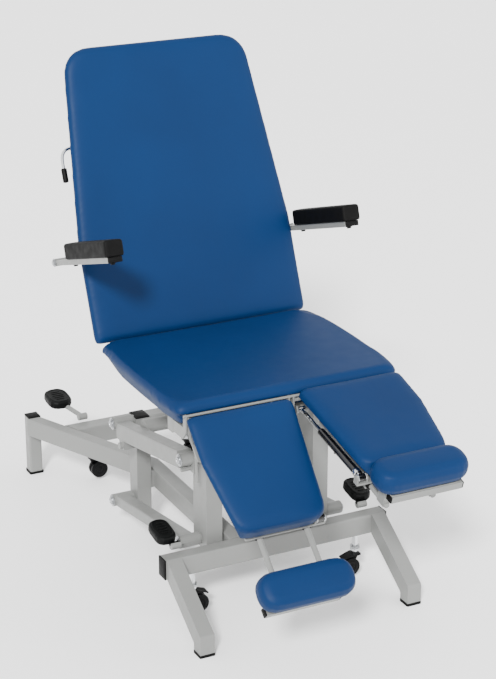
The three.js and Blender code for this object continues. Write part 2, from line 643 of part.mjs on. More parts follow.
function legFrame(side) {
  const top = LEG_TOP - LEG_THICK - GAP;
  const low = top - LEG_BOARD;
  const board = slab(mirrored([[50.5, -62], [50.5, -299], [19, -299], [19, -317], [230, -317],
    [252, -110], [LEG_EAR[1], -100], [LEG_EAR[1], -62]], side), low, top);
  const ear = [[-8, -8, 7], [-8, 8, 7], [7, 8, 7], [7, -9, 7], [-40, low + 1], [-98, low + 1],
    [-98, top - 0.5], [-32, top - 0.5]];
  const ears = [[50.5, 54.7], LEG_EAR].map(([a, b]) => sidePlate(ear.slice().reverse(),
    side * a, side * b));
  const sleeves = FOOT_RODS.map((x) => tube([side * x, -66, ROD_Z], [side * x, -306, ROD_Z],
    SLEEVE, SLEEVE, [1, 0, 0], 3));
  const lugs = [-13, 13].map((dx) => sidePlate([[-316.5, low + 1], [-299.5, low + 1],
    offset(STRUT_LEG, [8, 3]), offset(STRUT_LEG, [0, 8]), offset(STRUT_LEG, [-8, 3])],
  side * STRUT_X + dx - 2, side * STRUT_X + dx + 2));
  const lugPin = pin(side * STRUT_X - 14, side * STRUT_X + 14, STRUT_LEG, 4.5, 12);
  const holes = FOOT_RODS.map((x) => rod([side * x, -104, ROD_Z], [side * x, -330, ROD_Z],
    FOOT_ROD_R + 0.8, 12));
  return cut(join(board, ...ears, ...sleeves, ...lugs, lugPin),
    pin(side * 30, side * 296, [0, 0], 5.2, 10), ...holes);
}

const ROD_Z = LEG_TOP - LEG_THICK - GAP - LEG_BOARD - SLEEVE / 2 + 0.5;
const FOOT_START = LEG_PAD.start + LEG_PAD.length + 2;

function footFrame(side, out) {
  const near = -FOOT_START - out;
  const far = near - FOOT_PAD.depth;
  const rods = FOOT_RODS.map((x) => rod([side * x, near - 70, ROD_Z], [side * x, near + 208, ROD_Z],
    FOOT_ROD_R, 12));
  const plateTop = FOOT_LOW - GAP;
  const plate = slab([[-90, far + 8], [90, far + 8], [90, near - 14], [-90, near - 14]]
    .map(([x, y]) => [side * LEG_MID + x, y]), plateTop - 5, plateTop, 6);
  const saddles = FOOT_RODS.map((x) => block(side * x - 8, side * x + 8, near - 66, near - 36,
    ROD_Z - 5, plateTop - 3));
  const cross = block(side * FOOT_TUBE[0], side * FOOT_TUBE[1], far + 6, far + 28,
    plateTop - 21, plateTop - 3);
  return join(plate, ...rods, ...saddles, cross);
}

const FOOT_LOW = 6;
const FOOT_TUBE = [62, 252];     // ends of the square tube under the foot pad

function footPad(side, out) {
  const near = -FOOT_START - out;
  const { half, depth, thick } = FOOT_PAD;
  return cushion([[-half, near - depth], [half, near - depth], [half, near], [-half, near]], thick,
    20, 46, 5).translate(side * LEG_MID, 0, FOOT_LOW);
}

function buildLegs() {
  for (const [name, side] of SIDES) {
    const drop = LEG_DROP[name];
    const group = hingedGroup(LEG_HINGE, drop);
    add(`leg_pad_${name}`, legPad(side), vinyl, group);
    add(`leg_frame_${name}`, legFrame(side), paint, group);
    add(`foot_frame_${name}`, footFrame(side, FOOT_OUT[name]), paint, group);
    add(`foot_pad_${name}`, footPad(side, FOOT_OUT[name]), vinyl, group);
    const legEnd = offset(LEG_HINGE, rotated(STRUT_LEG, drop));
    const [barrel, shaft] = strutParts(side * STRUT_X, legEnd, STRUT_SEAT,
      { barrelEnd: 0.66, boreStart: 0.1, rodStart: 0.2 },
      { barrel: 9.5, bore: 6, shaft: 5, eye: 8.5, wide: 9, pin: 5 });
    add(`leg_strut_barrel_${name}`, barrel, black);
    add(`leg_strut_rod_${name}`, shaft, chrome);
  }
}

// ---- armrests -----------------------------------------------------------------------
// Local axes: origin at the armrest pivot, y backwards along the bar, z up out of it.
function buildArms() {
  const toLocal = ([y, z]) => rotated([y - ARM_PIVOT[0], z - ARM_PIVOT[1]], ARM_RISE);
  const rearTop = toLocal(ARM_REAR_TOP);
  const low = rearTop[1] - ARM.thick;
  const front = rearTop[0] - ARM.length;
  for (const [name, side] of SIDES) {
    const group = hingedGroup(ARM_PIVOT, -ARM_RISE);
    const mid = side * (ARM.inner + ARM.outer) / 2;
    const half = (ARM.outer - ARM.inner) / 2;
    const pad = cushion([[-half, front], [half, front], [half, rearTop[0]], [-half, rearTop[0]]],
      ARM.thick, 4, 7, 3).translate(mid, 0, low);
    add(`arm_pad_${name}`, pad, black, group);
    const barTop = low - GAP;
    const bar = slab([[-1, front + 8], [1, front + 8], [1, 2], [-1, 2]]
      .map(([x, y]) => [mid + x * ARM_BAR_HALF, y]), barTop - ARM_BAR, barTop, 2);
    const hub = pin(mid - ARM_BAR_HALF, mid + ARM_BAR_HALF, [0, 0], 10, 20);
    add(`arm_bar_${name}`, cut(join(bar, hub), pin(side * 290, side * 370, [0, 0], 7.8, 18)),
      paint, group);
  }
}

function buildSeatAndBack() {
  add('seat_frame', seatFrame(), paint);
  add('seat_pad', seatPad(), vinyl);
  const back = backGroup();
  add('back_pad', backPad(), vinyl, back);
  add('back_frame', backFrame(), paint, back);
  add('back_lever', backLever(), chrome, back);
  const [barrel, shaft] = strutParts(BACK_STRUT_X, BACK_STRUT_SEAT, BACK_STRUT_BACK,
    { barrelEnd: 0.56, boreStart: 0.06, rodStart: 0.44 },
    { barrel: 13, bore: 7, shaft: 5.5, eye: 10, wide: 11, pin: 5.7 });
  add('back_strut_barrel', barrel, black);
  add('back_strut_rod', shaft, chrome);
}

buildBase();
buildPedalsAndCastors();
buildLift();
buildSeatAndBack();
buildLegs();
buildArms();

export default table;
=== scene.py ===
"""Looks of the treatment table: cushions, trim, finishes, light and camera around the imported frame."""
import json
import math

import bmesh
import bpy
from mathutils import Matrix, Vector
from mathutils.bvhtree import BVHTree


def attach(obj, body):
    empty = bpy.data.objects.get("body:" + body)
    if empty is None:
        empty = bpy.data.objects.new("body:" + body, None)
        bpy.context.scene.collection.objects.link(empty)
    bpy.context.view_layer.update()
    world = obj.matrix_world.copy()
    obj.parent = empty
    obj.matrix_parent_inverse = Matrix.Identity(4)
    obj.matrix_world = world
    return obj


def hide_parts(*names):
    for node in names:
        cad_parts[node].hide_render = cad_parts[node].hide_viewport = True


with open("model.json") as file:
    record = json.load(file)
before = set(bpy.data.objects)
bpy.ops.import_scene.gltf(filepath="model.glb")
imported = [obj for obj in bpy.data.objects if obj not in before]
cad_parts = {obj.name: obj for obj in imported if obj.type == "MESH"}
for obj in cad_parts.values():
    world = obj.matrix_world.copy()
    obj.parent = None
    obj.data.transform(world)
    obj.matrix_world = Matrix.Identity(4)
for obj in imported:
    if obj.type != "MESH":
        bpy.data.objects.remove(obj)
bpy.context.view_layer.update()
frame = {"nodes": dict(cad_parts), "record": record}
NODES = frame["nodes"]
SCENE = bpy.context.scene
SIDES = (("left", -1), ("right", 1))

ORIGIN_Y = 97.7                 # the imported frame's y = 0, measured from the seat hinge axis, mm
BACK_CORNER = (43, 609)
BACK_LEAN = 22.4
LEG_HINGE = (-452, 568)
LEG_DROP = {"left": 43, "right": 16}
ARM_PIVOT = (205, 777)
ARM_RISE = 17.5
STRUT_SEAT = (-447, 537)
STRUT_LEG = (-306, -8)
FOOT_NEAR = {"left": -423, "right": -319}    # edge of each foot pad nearest its leg pad
FOOT_DEPTH = 92
ROD_Z = -34.85                  # middle of the foot support's rods, in the leg section's axes
ROD_X = {"inner": 62, "outer": 188}
TUBE_X = {"inner": 62, "outer": 252}
STRUT_X = 34
ARM_X = 330
BEAM_END = (312, -376.5, 150)
POST_TOP = (283, 613, 176)
UPRIGHT_TOP = (152.5, 128, 338)
SEAT_RAIL = (151, -392, 529.8)
SEAT_CROSS = (232, 4, 529.8)
AXLE_X = 238
PIVOT_D, PIVOT_B = (138, 97), (126, 329)
LINK, LINK_SLOPE = 438, math.radians(8.9)
LEVER = (-288, 453, -64.35)     # upper end of the lever's grip, in the backrest's axes
# name: hinge y, hinge z, pad x, pad y, pad z, half width and half length of the tread's rim
PEDALS = {"front_left": (-349, 189, -283, -304, 198, 21, 35),
          "front_right": (-349, 189, 276, -304, 198, 21, 35),
          "rear_left": (516, 189, -200, 622, 199, 27, 39),
          "rear_right": (516, 189, 200, 622, 199, 27, 39)}
# name: x, y and the side on which the wheels trail
CASTORS = {"front_left": (-234, -376.5, 1), "front_right": (234, -376.5, -1),
           "rear_left": (-150, 484, 1), "rear_right": (150, 484, 1)}
CASTOR_TRAIL = 16
CASTOR_AXLE_Z = 33

CAMERA_PLACE = (-2020.8, -4259.7, 2359.2)
CAMERA_AIM = (175.5, 128.5, 500)
FOCAL_LENGTH = 1916.8           # in pixels of the photograph
FRAME_HEIGHT = 679              # in the same pixels
SENSOR = 36
LIGHT_AIM = (0, -50, 500)


# ---- places -------------------------------------------------------------------------
def at(x, y, z):
    """Point of the table in mm, as a point of the row frame in metres."""
    return Vector((x / 1000, (y + ORIGIN_Y) / 1000, z / 1000))


def local(origin, degrees):
    """Axes that start at (y, z) of the table and are turned about X, in metres."""
    return Matrix.Translation(at(0, *origin)) @ Matrix.Rotation(math.radians(degrees), 4, "X")


BACK = local(BACK_CORNER, 90 - BACK_LEAN)
LEG = {side: local(LEG_HINGE, LEG_DROP[side]) for side, _ in SIDES}
ARM = local(ARM_PIVOT, -ARM_RISE)
TABLE = Matrix.Translation(at(0, 0, 0))


# ---- shader helpers -----------------------------------------------------------------
def linear(rgb):
    """sRGB colour, 0 to 255, as linear RGBA."""
    out = []
    for value in rgb:
        c = value / 255
        out.append(c / 12.92 if c <= 0.04045 else ((c + 0.055) / 1.055) ** 2.4)
    return (*out, 1.0)


class Shader:
    """A material under construction: nodes are added left to right."""

    def __init__(self, name, roughness, metallic=0.0):
        self.material = bpy.data.materials.new(name)
        self.material.use_nodes = True
        self.nodes = self.material.node_tree.nodes
        self.links = self.material.node_tree.links
        self.bsdf = self.nodes["Principled BSDF"]
        self.bsdf.inputs["Roughness"].default_value = roughness
        self.bsdf.inputs["Metallic"].default_value = metallic
        self.place = self.nodes.new("ShaderNodeTexCoord").outputs["Object"]
        self.bump = None

    def noise(self, scale, detail=3.0, stretch=None):
        node = self.nodes.new("ShaderNodeTexNoise")
        node.inputs["Scale"].default_value = scale
        node.inputs["Detail"].default_value = detail
        self.links.new(self.stretched(stretch), node.inputs["Vector"])
        return node.outputs["Fac"]

    def stretched(self, stretch):
        if stretch is None:
            return self.place
        node = self.nodes.new("ShaderNodeMapping")
        node.inputs["Scale"].default_value = stretch
        self.links.new(self.place, node.inputs["Vector"])
        return node.outputs["Vector"]

    def cells(self, scale, feature="F1"):
        node = self.nodes.new("ShaderNodeTexVoronoi")
        node.feature = feature
        node.inputs["Scale"].default_value = scale
        self.links.new(self.place, node.inputs["Vector"])
        return node.outputs["Distance"]

    def ramp(self, value, low, high, from_colour, to_colour):
        node = self.nodes.new("ShaderNodeValToRGB")
        ends = node.color_ramp.elements
        ends[0].position, ends[1].position = low, high
        ends[0].color, ends[1].color = from_colour, to_colour
        self.links.new(value, node.inputs["Fac"])
        return node.outputs["Color"]

    def span(self, value, low, high, to_low, to_high):
        node = self.nodes.new("ShaderNodeMapRange")
        for key, number in (("From Min", low), ("From Max", high), ("To Min", to_low),
                            ("To Max", to_high)):
            node.inputs[key].default_value = number
        self.links.new(value, node.inputs["Value"])
        return node.outputs["Result"]

    def mix(self, factor, a, b, blend="MIX"):
        node = self.nodes.new("ShaderNodeMix")
        node.data_type = "RGBA"
        node.blend_type = blend
        sockets = {s.name: s for s in node.inputs if s.type == "RGBA"}
        for value, key in ((factor, None), (a, "A"), (b, "B")):
            socket = node.inputs["Factor"] if key is None else sockets[key]
            if isinstance(value, (tuple, float, int)):
                socket.default_value = value
            else:
                self.links.new(value, socket)
        return next(s for s in node.outputs if s.type == "RGBA")

    def edge(self, radius):
        """Near 1 on convex edges and corners, 0 on flats."""
        bevel = self.nodes.new("ShaderNodeBevel")
        bevel.samples = 4
        bevel.inputs["Radius"].default_value = radius
        flat = self.nodes.new("ShaderNodeNewGeometry")
        dot = self.nodes.new("ShaderNodeVectorMath")
        dot.operation = "DOT_PRODUCT"
        self.links.new(bevel.outputs["Normal"], dot.inputs[0])
        self.links.new(flat.outputs["Normal"], dot.inputs[1])
        return self.span(dot.outputs["Value"], 0.995, 0.8, 0.0, 1.0)

    def height(self, value, distance, strength=1.0):
        node = self.nodes.new("ShaderNodeBump")
        node.inputs["Distance"].default_value = distance
        node.inputs["Strength"].default_value = strength
        self.links.new(value, node.inputs["Height"])
        if self.bump is not None:
            self.links.new(self.bump, node.inputs["Normal"])
        self.bump = node.outputs["Normal"]

    def colour(self, value):
        self.links.new(value, self.bsdf.inputs["Base Color"])

    def rough(self, value):
        self.links.new(value, self.bsdf.inputs["Roughness"])

    def done(self, **sockets):
        for key, value in sockets.items():
            self.bsdf.inputs[key.replace("_", " ")].default_value = value
        if self.bump is not None:
            self.links.new(self.bump, self.bsdf.inputs["Normal"])
        return self.material


# ---- finishes -----------------------------------------------------------------------
def powder_coat(name, rgb, roughness):
    s = Shader(name, roughness)
    light, dark = linear(rgb), linear([v * 0.95 for v in rgb])
    base = s.ramp(s.noise(5, 5), 0.3, 0.75, dark, light)
    scuffs = s.span(s.noise(60, 6), 0.62, 0.8, 0.0, 0.35)
    marked = s.mix(scuffs, base, linear([v * 0.86 for v in rgb]))
    s.colour(s.mix(s.edge(0.0015), marked, linear([min(255, v * 1.07) for v in rgb])))
    s.rough(s.span(s.noise(35, 4), 0.25, 0.75, roughness - 0.06, roughness + 0.08))
    s.height(s.noise(900, 2), 0.00012, 0.35)
    s.height(s.noise(140, 2), 0.0002, 0.15)
    return s.done(Specular_IOR_Level=0.35, Coat_Weight=0.06, Coat_Roughness=0.25)


def vinyl():
    s = Shader("blue_vinyl", 0.45)
    base = s.ramp(s.noise(3.5, 4), 0.25, 0.8, linear((0, 32, 69)), linear((0, 36, 76)))
    grain = s.cells(620, "SMOOTH_F1")
    fine = s.cells(1500)
    shade = s.ramp(grain, 0.1, 0.75, (0.88, 0.88, 0.88, 1), (1, 1, 1, 1))
    s.colour(s.mix(1.0, base, shade, "MULTIPLY"))
    s.rough(s.span(s.noise(28, 4), 0.3, 0.7, 0.5, 0.55))
    s.height(s.noise(9, 3), 0.0012, 0.08)
    s.height(grain, 0.00022, 0.5)
    s.height(fine, 0.00008, 0.4)
    return s.done(Specular_IOR_Level=0.12)


def dust_cloth():
    s = Shader("base_cloth", 0.9)
    weave = s.noise(900, 2, (1, 1, 1))
    s.colour(s.ramp(weave, 0.3, 0.7, linear((6, 6, 7)), linear((13, 13, 14))))
    s.height(weave, 0.0003, 0.6)
    s.height(s.noise(30, 4), 0.002, 0.2)
    return s.done(Sheen_Weight=0.2, Sheen_Roughness=0.5)


def plastic(name, rgb, roughness, grain=700, depth=0.00015):
    s = Shader(name, roughness)
    base = s.ramp(s.noise(18, 4), 0.3, 0.7, linear([v * 0.8 for v in rgb]), linear(rgb))
    s.colour(s.mix(s.edge(0.0012), base, linear([v * 1.6 + 4 for v in rgb])))
    s.rough(s.span(s.noise(45, 5), 0.3, 0.7, roughness - 0.07, roughness + 0.09))
    s.height(s.cells(grain), depth, 0.5)
    return s.done(Specular_IOR_Level=0.12)


def metal(name, rgb, roughness, stretch=(1, 1, 1)):
    s = Shader(name, roughness, 1.0)
    s.colour(s.ramp(s.noise(40, 4), 0.3, 0.75, linear([v * 0.93 for v in rgb]), linear(rgb)))
    s.rough(s.span(s.noise(220, 3, stretch), 0.3, 0.7, roughness * 0.6, roughness * 1.5))
    s.height(s.noise(700, 2, stretch), 0.00003, 0.3)
    return s.done()


def enamel(name, rgb):
    s = Shader(name, 0.25)
    s.colour(s.ramp(s.noise(25, 4), 0.3, 0.7, linear(rgb), linear([v * 1.5 for v in rgb])))
    s.rough(s.span(s.noise(60, 4), 0.3, 0.7, 0.18, 0.34))
    s.height(s.noise(500, 2), 0.00004, 0.3)
    return s.done(Coat_Weight=0.4, Coat_Roughness=0.12)


def floor_finish():
    s = Shader("floor", 0.55)
    s.colour(s.ramp(s.noise(0.8, 2), 0.2, 0.8, (0.96, 0.96, 0.96, 1), (0.98, 0.98, 0.98, 1)))
    return s.done(Specular_IOR_Level=0.15)


FINISH = {
    "frame_paint": powder_coat("grey_powder_coat", (116, 117, 115), 0.42),
    "upholstery": vinyl(),
    "arm_pad": plastic("arm_foam_skin", (3, 3, 3), 0.66, 900, 0.00006),
    "foot_rubber": plastic("foot_rubber", (5, 5, 5), 0.75, 400, 0.0002),
    "pedal": plastic("pedal_plastic", (4, 5, 5), 0.5),
    "castor_plastic": plastic("castor_nylon", (5, 5, 6), 0.45),
    "actuator_housing": plastic("actuator_housing", (9, 9, 10), 0.5),
    "strut_barrel": enamel("strut_enamel", (6, 6, 7)),
    "chrome": metal("chrome", (228, 230, 232), 0.12, (1, 1, 6)),
    "zinc": metal("zinc_plate", (176, 178, 180), 0.32),
    "cap": plastic("cap_plastic", (4, 4, 4), 0.55),
    "base_cloth": dust_cloth(),
}
SLOT_OF = {s["node"]: s["material_slot"] for s in frame["record"]["subparts"]}


# ---- mesh helpers -------------------------------------------------------------------
def use(obj, *finishes):
    obj.data.materials.clear()
    for finish in finishes:
        obj.data.materials.append(FINISH[finish])
    return obj


def smooth(obj, degrees=40):
    obj.data.shade_smooth()
    obj.data.set_sharp_from_angle(angle=math.radians(degrees))
    return obj


def new_piece(name, bm, place, body, finish, degrees=40):
    """Mesh from bmesh in mm, moved to its place, riding on a body."""
    mesh = bpy.data.meshes.new(name)
    bmesh.ops.recalc_face_normals(bm, faces=bm.faces)
    bm.to_mesh(mesh)
    bm.free()
    mesh.transform(place @ Matrix.Diagonal((0.001, 0.001, 0.001, 1)))
    obj = bpy.data.objects.new(name, mesh)
    SCENE.collection.objects.link(obj)
    use(obj, finish)
    smooth(obj, degrees)
    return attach(obj, body)


def turned(bm, profile, segments=32, place=Matrix.Identity(4)):
    """Adds a turned solid: profile is (radius, height) pairs from the axis and back to it, along Z."""
    rings = []
    for radius, height in profile:
        if radius < 1e-6:
            rings.append([bm.verts.new(place @ Vector((0, 0, height)))])
            continue
        rings.append([bm.verts.new(place @ Vector((radius * math.cos(a), radius * math.sin(a), height)))
                      for a in (2 * math.pi * i / segments for i in range(segments))])
    for low, high in zip(rings, rings[1:]):
        for i in range(segments):
            j = (i + 1) % segments
            corners = [low[i % len(low)], low[j % len(low)], high[j % len(high)], high[i % len(high)]]
            unique = list(dict.fromkeys(corners))
            if len(unique) > 2:
                bm.faces.new(unique)


def soft_box(bm, size, centre, bevel, segments=3, place=Matrix.Identity(4)):
    """Adds a box with rounded edges."""
    made = bmesh.ops.create_cube(bm, size=1)["verts"]
    bmesh.ops.scale(bm, vec=size, verts=made)
    bmesh.ops.translate(bm, vec=centre, verts=made)
    edges = list({e for v in made for e in v.link_edges})
    result = bmesh.ops.bevel(bm, geom=edges, offset=bevel, segments=segments, affect="EDGES",
                             profile=0.5, clamp_overlap=True)
    for v in {v for f in result["faces"] for v in f.verts} | {v for v in made if v.is_valid}:
        v.co = place @ v.co


def facing(axis, point):
    """Place whose Z runs along an axis of the table, at a point in mm."""
    turn = Vector((0, 0, 1)).rotation_difference(Vector(axis)).to_matrix().to_4x4()
    return Matrix.Translation(Vector(point)) @ turn


# ---- CAD nodes ----------------------------------------------------------------------
def finish_nodes():
    """Softens the edges of every carried-over solid and gives it its slot's finish."""
    for name, node in NODES.items():
        use(node, SLOT_OF[name])
        smooth(node, 42)
        bevel = node.modifiers.new("edges", "BEVEL")
        bevel.width = 0.0011
        bevel.segments = 2
        bevel.limit_method = "ANGLE"
        bevel.angle_limit = math.radians(44)
        bevel.harden_normals = True


# ---- cushions -----------------------------------------------------------------------
SIDE_SWELL = 0.2                # share of the swelling that upright sides keep
END_ROOM = 0.0004               # how far a cover may stand proud where it faces its neighbour, m
SEAT_BAND = 0.008               # spacing at which the seat's width is measured, m
SEAT_HALF = 0.302
SEAT_BULGE = 0.006
SEAT_REAR_ROUND = 0.02
SEAT_CROWN = 0.009


def smoothed(obj, times, factor=0.5, group=""):
    step = obj.modifiers.new("smooth", "SMOOTH")
    step.factor, step.iterations, step.vertex_group = factor, times, group
    apply_modifier(obj, step)


def apply_modifier(obj, modifier):
    with bpy.context.temp_override(object=obj, active_object=obj, selected_objects=[obj]):
        bpy.ops.object.modifier_apply(modifier=modifier.name)


def cushion(name, node, body, down, voxel=0.006, rounding=6, grow=0.003, swell=0.006, pressure=4.0,
            slot="upholstery", spare=0.002):
    """Foam pad under a taut cover: remeshed from the CAD solid, eased and grown back to size, then
    blown up a little by cloth pressure with its base held flat, kept clear of its neighbours, and
    subdivided. spare is how far its left and right sides may stand proud of the CAD solid."""
    obj = bpy.data.objects.new(name, NODES[node].data.copy())
    SCENE.collection.objects.link(obj)
    bpy.context.view_layer.update()
    obj.data.remesh_voxel_size = voxel
    with bpy.context.temp_override(object=obj, active_object=obj, selected_objects=[obj]):
        bpy.ops.object.voxel_remesh()
    smoothed(obj, rounding)
    if node == "seat_pad":
        tailor_seat(obj.data)
        smoothed(obj, 6)
    down = Vector(down).normalized()
    lowest = max(v.co.dot(down) for v in obj.data.vertices)
    base = obj.vertex_groups.new(name="base")
    for v in obj.data.vertices:
        depth = lowest - v.co.dot(down)
        held = max(0.0, 1 - depth / 0.012)
        base.add([v.index], held, "REPLACE")
    fatten(obj, down, lowest, grow)
    inflate(obj, down, pressure, swell)
    smoothed(obj, 2)
    hold_in(obj.data, NODES[node].data, down, grow + swell, spare)
    use(obj, SLOT_OF[node], "base_cloth")
    for face in obj.data.polygons:
        under = face.normal.dot(down) > 0.97 and lowest - face.center.dot(down) < 0.003
        face.material_index = 1 if under and slot == "upholstery" else 0
    obj.data.shade_smooth()
    obj.vertex_groups.clear()
    subdivide = obj.modifiers.new("subdivide", "SUBSURF")
    subdivide.levels = subdivide.render_levels = 1
    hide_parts(node)
    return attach(obj, body)


def tailor_seat(mesh):
    """Fills the rear corners of the seat cover out to its sides and crowns it between front and rear."""
    xs, ys, zs = zip(*(v.co for v in mesh.vertices))
    rear, front, low, high = max(ys), min(ys), min(zs), max(zs)
    bands = [0.0] * (int((rear - front) / SEAT_BAND) + 2)
    for x, y in zip(xs, ys):
        key = round((y - front) / SEAT_BAND)
        bands[key] = max(bands[key], abs(x))
    for v in mesh.vertices:
        place = (v.co.y - front) / SEAT_BAND
        key = min(int(place), len(bands) - 2)
        after = bands[key + 1] or bands[key]
        cut = bands[key] + (after - bands[key]) * (place - key)
        t = (v.co.y - front) / (rear - front)
        wide = SEAT_HALF + SEAT_BULGE * math.sin(math.pi * t)
        corner = max(0.0, 1 - (rear - v.co.y) / SEAT_REAR_ROUND)
        wide -= SEAT_REAR_ROUND * (1 - math.sqrt(1 - min(1.0, corner) ** 2))
        blend = min(1.0, max(0.0, (t - 0.12) / 0.2))
        v.co.x *= 1 + blend * (wide / cut - 1)
        v.co.z += SEAT_CROWN * math.sin(math.pi * t) ** 0.8 * (v.co.z - low) / (high - low)


def fatten(obj, down, lowest, grow):
    """Moves the surface out along its normals, but never below the flat base."""
    normals = [v.normal.copy() for v in obj.data.vertices]
    for v, normal in zip(obj.data.vertices, normals):
        v.co += normal * grow
        below = v.co.dot(down) - lowest
        if below > 0:
            v.co -= down * below


def hold_in(mesh, solid, down, crown, spare):
    """Pulls the cover back to its CAD solid where it faces a neighbour: ends, underside, notches."""
    tree = BVHTree.FromPolygons([v.co for v in solid.vertices],
                                [tuple(f.vertices) for f in solid.polygons])
    across = Vector((1, 0, 0))
    up = -down
    along = up.cross(across)
    for v in mesh.vertices:
        near, normal, _, _ = tree.find_nearest(v.co)
        proud = v.co - near
        if proud.dot(normal) > 0:
            v.co = (near + across * clamped(proud.x, -END_ROOM - spare, END_ROOM + spare)
                    + along * clamped(proud.dot(along), -END_ROOM, END_ROOM)
                    + up * clamped(proud.dot(up), -END_ROOM, crown))


def clamped(value, low, high):
    return max(low, min(high, value))


def inflate(obj, down, pressure, cap):
    """Blows the cover up with cloth pressure and keeps the outward part of its movement, evened out."""
    cloth = obj.modifiers.new("cloth", "CLOTH")
    s = cloth.settings
    s.quality = 4
    s.mass = 0.4
    s.tension_stiffness = s.compression_stiffness = 40
    s.shear_stiffness = 20
    s.bending_stiffness = 6
    s.use_pressure = True
    s.uniform_pressure_force = pressure
    s.vertex_group_mass = "base"
    s.pin_stiffness = 1
    s.effector_weights.gravity = 0
    cloth.collision_settings.use_collision = False
    cloth.point_cache.frame_start, cloth.point_cache.frame_end = 1, 20
    for number in range(1, 21):
        SCENE.frame_set(number)
    evaluated = obj.evaluated_get(bpy.context.evaluated_depsgraph_get())
    moved = [v.co.copy() for v in evaluated.data.vertices]
    obj.modifiers.remove(cloth)
    SCENE.frame_set(1)
    normals = [v.normal.copy() for v in obj.data.vertices]
    swelling = []
    for vertex, normal, end in zip(obj.data.vertices, normals, moved):
        outward = min(cap, max(0.0, (end - vertex.co).dot(normal)))
        facing_up = max(0.0, -normal.dot(down))
        swelling.append(outward * (SIDE_SWELL + (1 - SIDE_SWELL) * facing_up))
    for vertex, normal, amount in zip(obj.data.vertices, normals, evened(obj.data, swelling, 12)):
        vertex.co += normal * amount


def evened(mesh, values, times):
    """Values of the vertices, each averaged with its neighbours a number of times."""
    pairs = [tuple(e.vertices) for e in mesh.edges]
    for _ in range(times):
        total, count = list(values), [1] * len(values)
        for a, b in pairs:
            total[a] += values[b]
            total[b] += values[a]
            count[a] += 1
            count[b] += 1
        values = [t / c for t, c in zip(total, count)]
    return values


def make_cushions():
    up = Vector((0, 0, 1))
    cushion("seat_cushion", "seat_pad", "carriage", -up, rounding=7, grow=0.004,
            spare=0.045)
    behind = BACK.to_3x3() @ -up
    cushion("back_cushion", "back_pad", "backrest", behind, voxel=0.007, rounding=5, grow=0.003)
    for side, _ in SIDES:
        below = LEG[side].to_3x3() @ -up
        cushion(f"leg_cushion_{side}", f"leg_pad_{side}", f"leg_{side}", below, voxel=0.005, rounding=14,
                grow=0.0055, swell=0.004)
        cushion(f"foot_cushion_{side}", f"foot_pad_{side}", f"foot_{side}", below, voxel=0.004,
                rounding=8, grow=0.003, swell=0.003)
        beneath = ARM.to_3x3() @ -up
        cushion(f"arm_cushion_{side}", f"arm_pad_{side}", f"arm_{side}", beneath, voxel=0.003, rounding=3,
                grow=0.001, swell=0.001, slot="arm_pad")


# ---- trim ---------------------------------------------------------------------------
def plug(name, centre, size, axis, body, place=TABLE):
    """Ribbed plastic end cap of a tube; size is the tube's section, axis points out of the tube."""
    turn = Vector((0, 0, 1)).rotation_difference(Vector(axis)).to_matrix().to_4x4()
    bm = bmesh.new()
    w, h = size
    soft_box(bm, (w, h, 4.2), (0, 0, 2.1), 1.9, 3)
    soft_box(bm, (w - 9, h - 9, 1.6), (0, 0, 4.3), 0.7, 2)
    bmesh.ops.transform(bm, matrix=Matrix.Translation(Vector(centre)) @ turn, verts=bm.verts)
    return new_piece(name, bm, place, body, "cap", 35)


def axle_end(name, x, spot, side, body):
    """Washer, retaining ring and countersunk screw on the end of a pivot axle."""
    place = facing((side, 0, 0), (side * x, *spot))
    bm = bmesh.new()
    profile = [(0, -5.6), (15.5, -5.6), (16.2, -5.0), (16.2, -4.2), (15.5, -3.6), (9.6, -3.6),
               (9.6, -3.2), (12.4, -3.2), (12.8, -2.6), (12.4, -2.0), (9.3, -2.0), (9.3, 0.4),
               (8.4, 1.3), (4.6, 1.3), (3.6, -0.6), (0, -0.6)]
    turned(bm, profile, 36, place)
    return new_piece(name, bm, TABLE, body, "zinc", 30)


def hex_bolt(bm, place, across=13, head=5.0):
    """Adds a washer and a chamfered hexagon head, standing on z = 0."""
    turned(bm, [(0, 0), (across * 0.85, 0), (across * 0.85, 1.4), (0, 1.4)], 28, place)
    r = across / math.sqrt(3)
    turned(bm, [(0, 1.4), (r, 1.4), (r, head + 0.4), (r * 0.86, head + 1.4), (0, head + 1.4)], 6, place)


def collar(name, centre, axis, inner, outer, length, body, place):
    """Guide bush where a rod leaves its tube."""
    spot = facing(axis, centre)
    bm = bmesh.new()
    profile = [(inner, 0), (outer, 0), (outer, length * 0.55), (outer - 1.6, length),
               (inner + 0.8, length), (inner, length - 0.8), (inner, 0)]
    turned(bm, profile, 32, spot)
    bmesh.ops.remove_doubles(bm, verts=bm.verts, dist=1e-4)
    return new_piece(name, bm, place, body, "cap", 35)


def base_trim():
    for side, s in SIDES:
        plug(f"beam_cap_{side}", mirrored(BEAM_END, s), (54, 39), (s, 0, 0), "base")
        plug(f"post_cap_{side}", mirrored(POST_TOP, s), (38, 38), (0, 0, 1), "base")
        plug(f"upright_cap_{side}", mirrored(UPRIGHT_TOP, s), (41, 50), (0, 0, 1), "base")


def mirrored(point, side):
    x, y, z = point
    return side * x, y, z


def stepped(pivot):
    """Front pivot of the link whose rear pivot is given."""
    return pivot[0] - LINK * math.cos(LINK_SLOPE), pivot[1] + LINK * math.sin(LINK_SLOPE)


def lift_trim():
    for side, s in SIDES:
        for key, spot, body in (("d", PIVOT_D, "base"), ("b", PIVOT_B, "base"),
                                ("e", stepped(PIVOT_D), "carriage"), ("a", stepped(PIVOT_B), "carriage")):
            axle_end(f"axle_end_{key}_{side}", AXLE_X, spot, s, body)


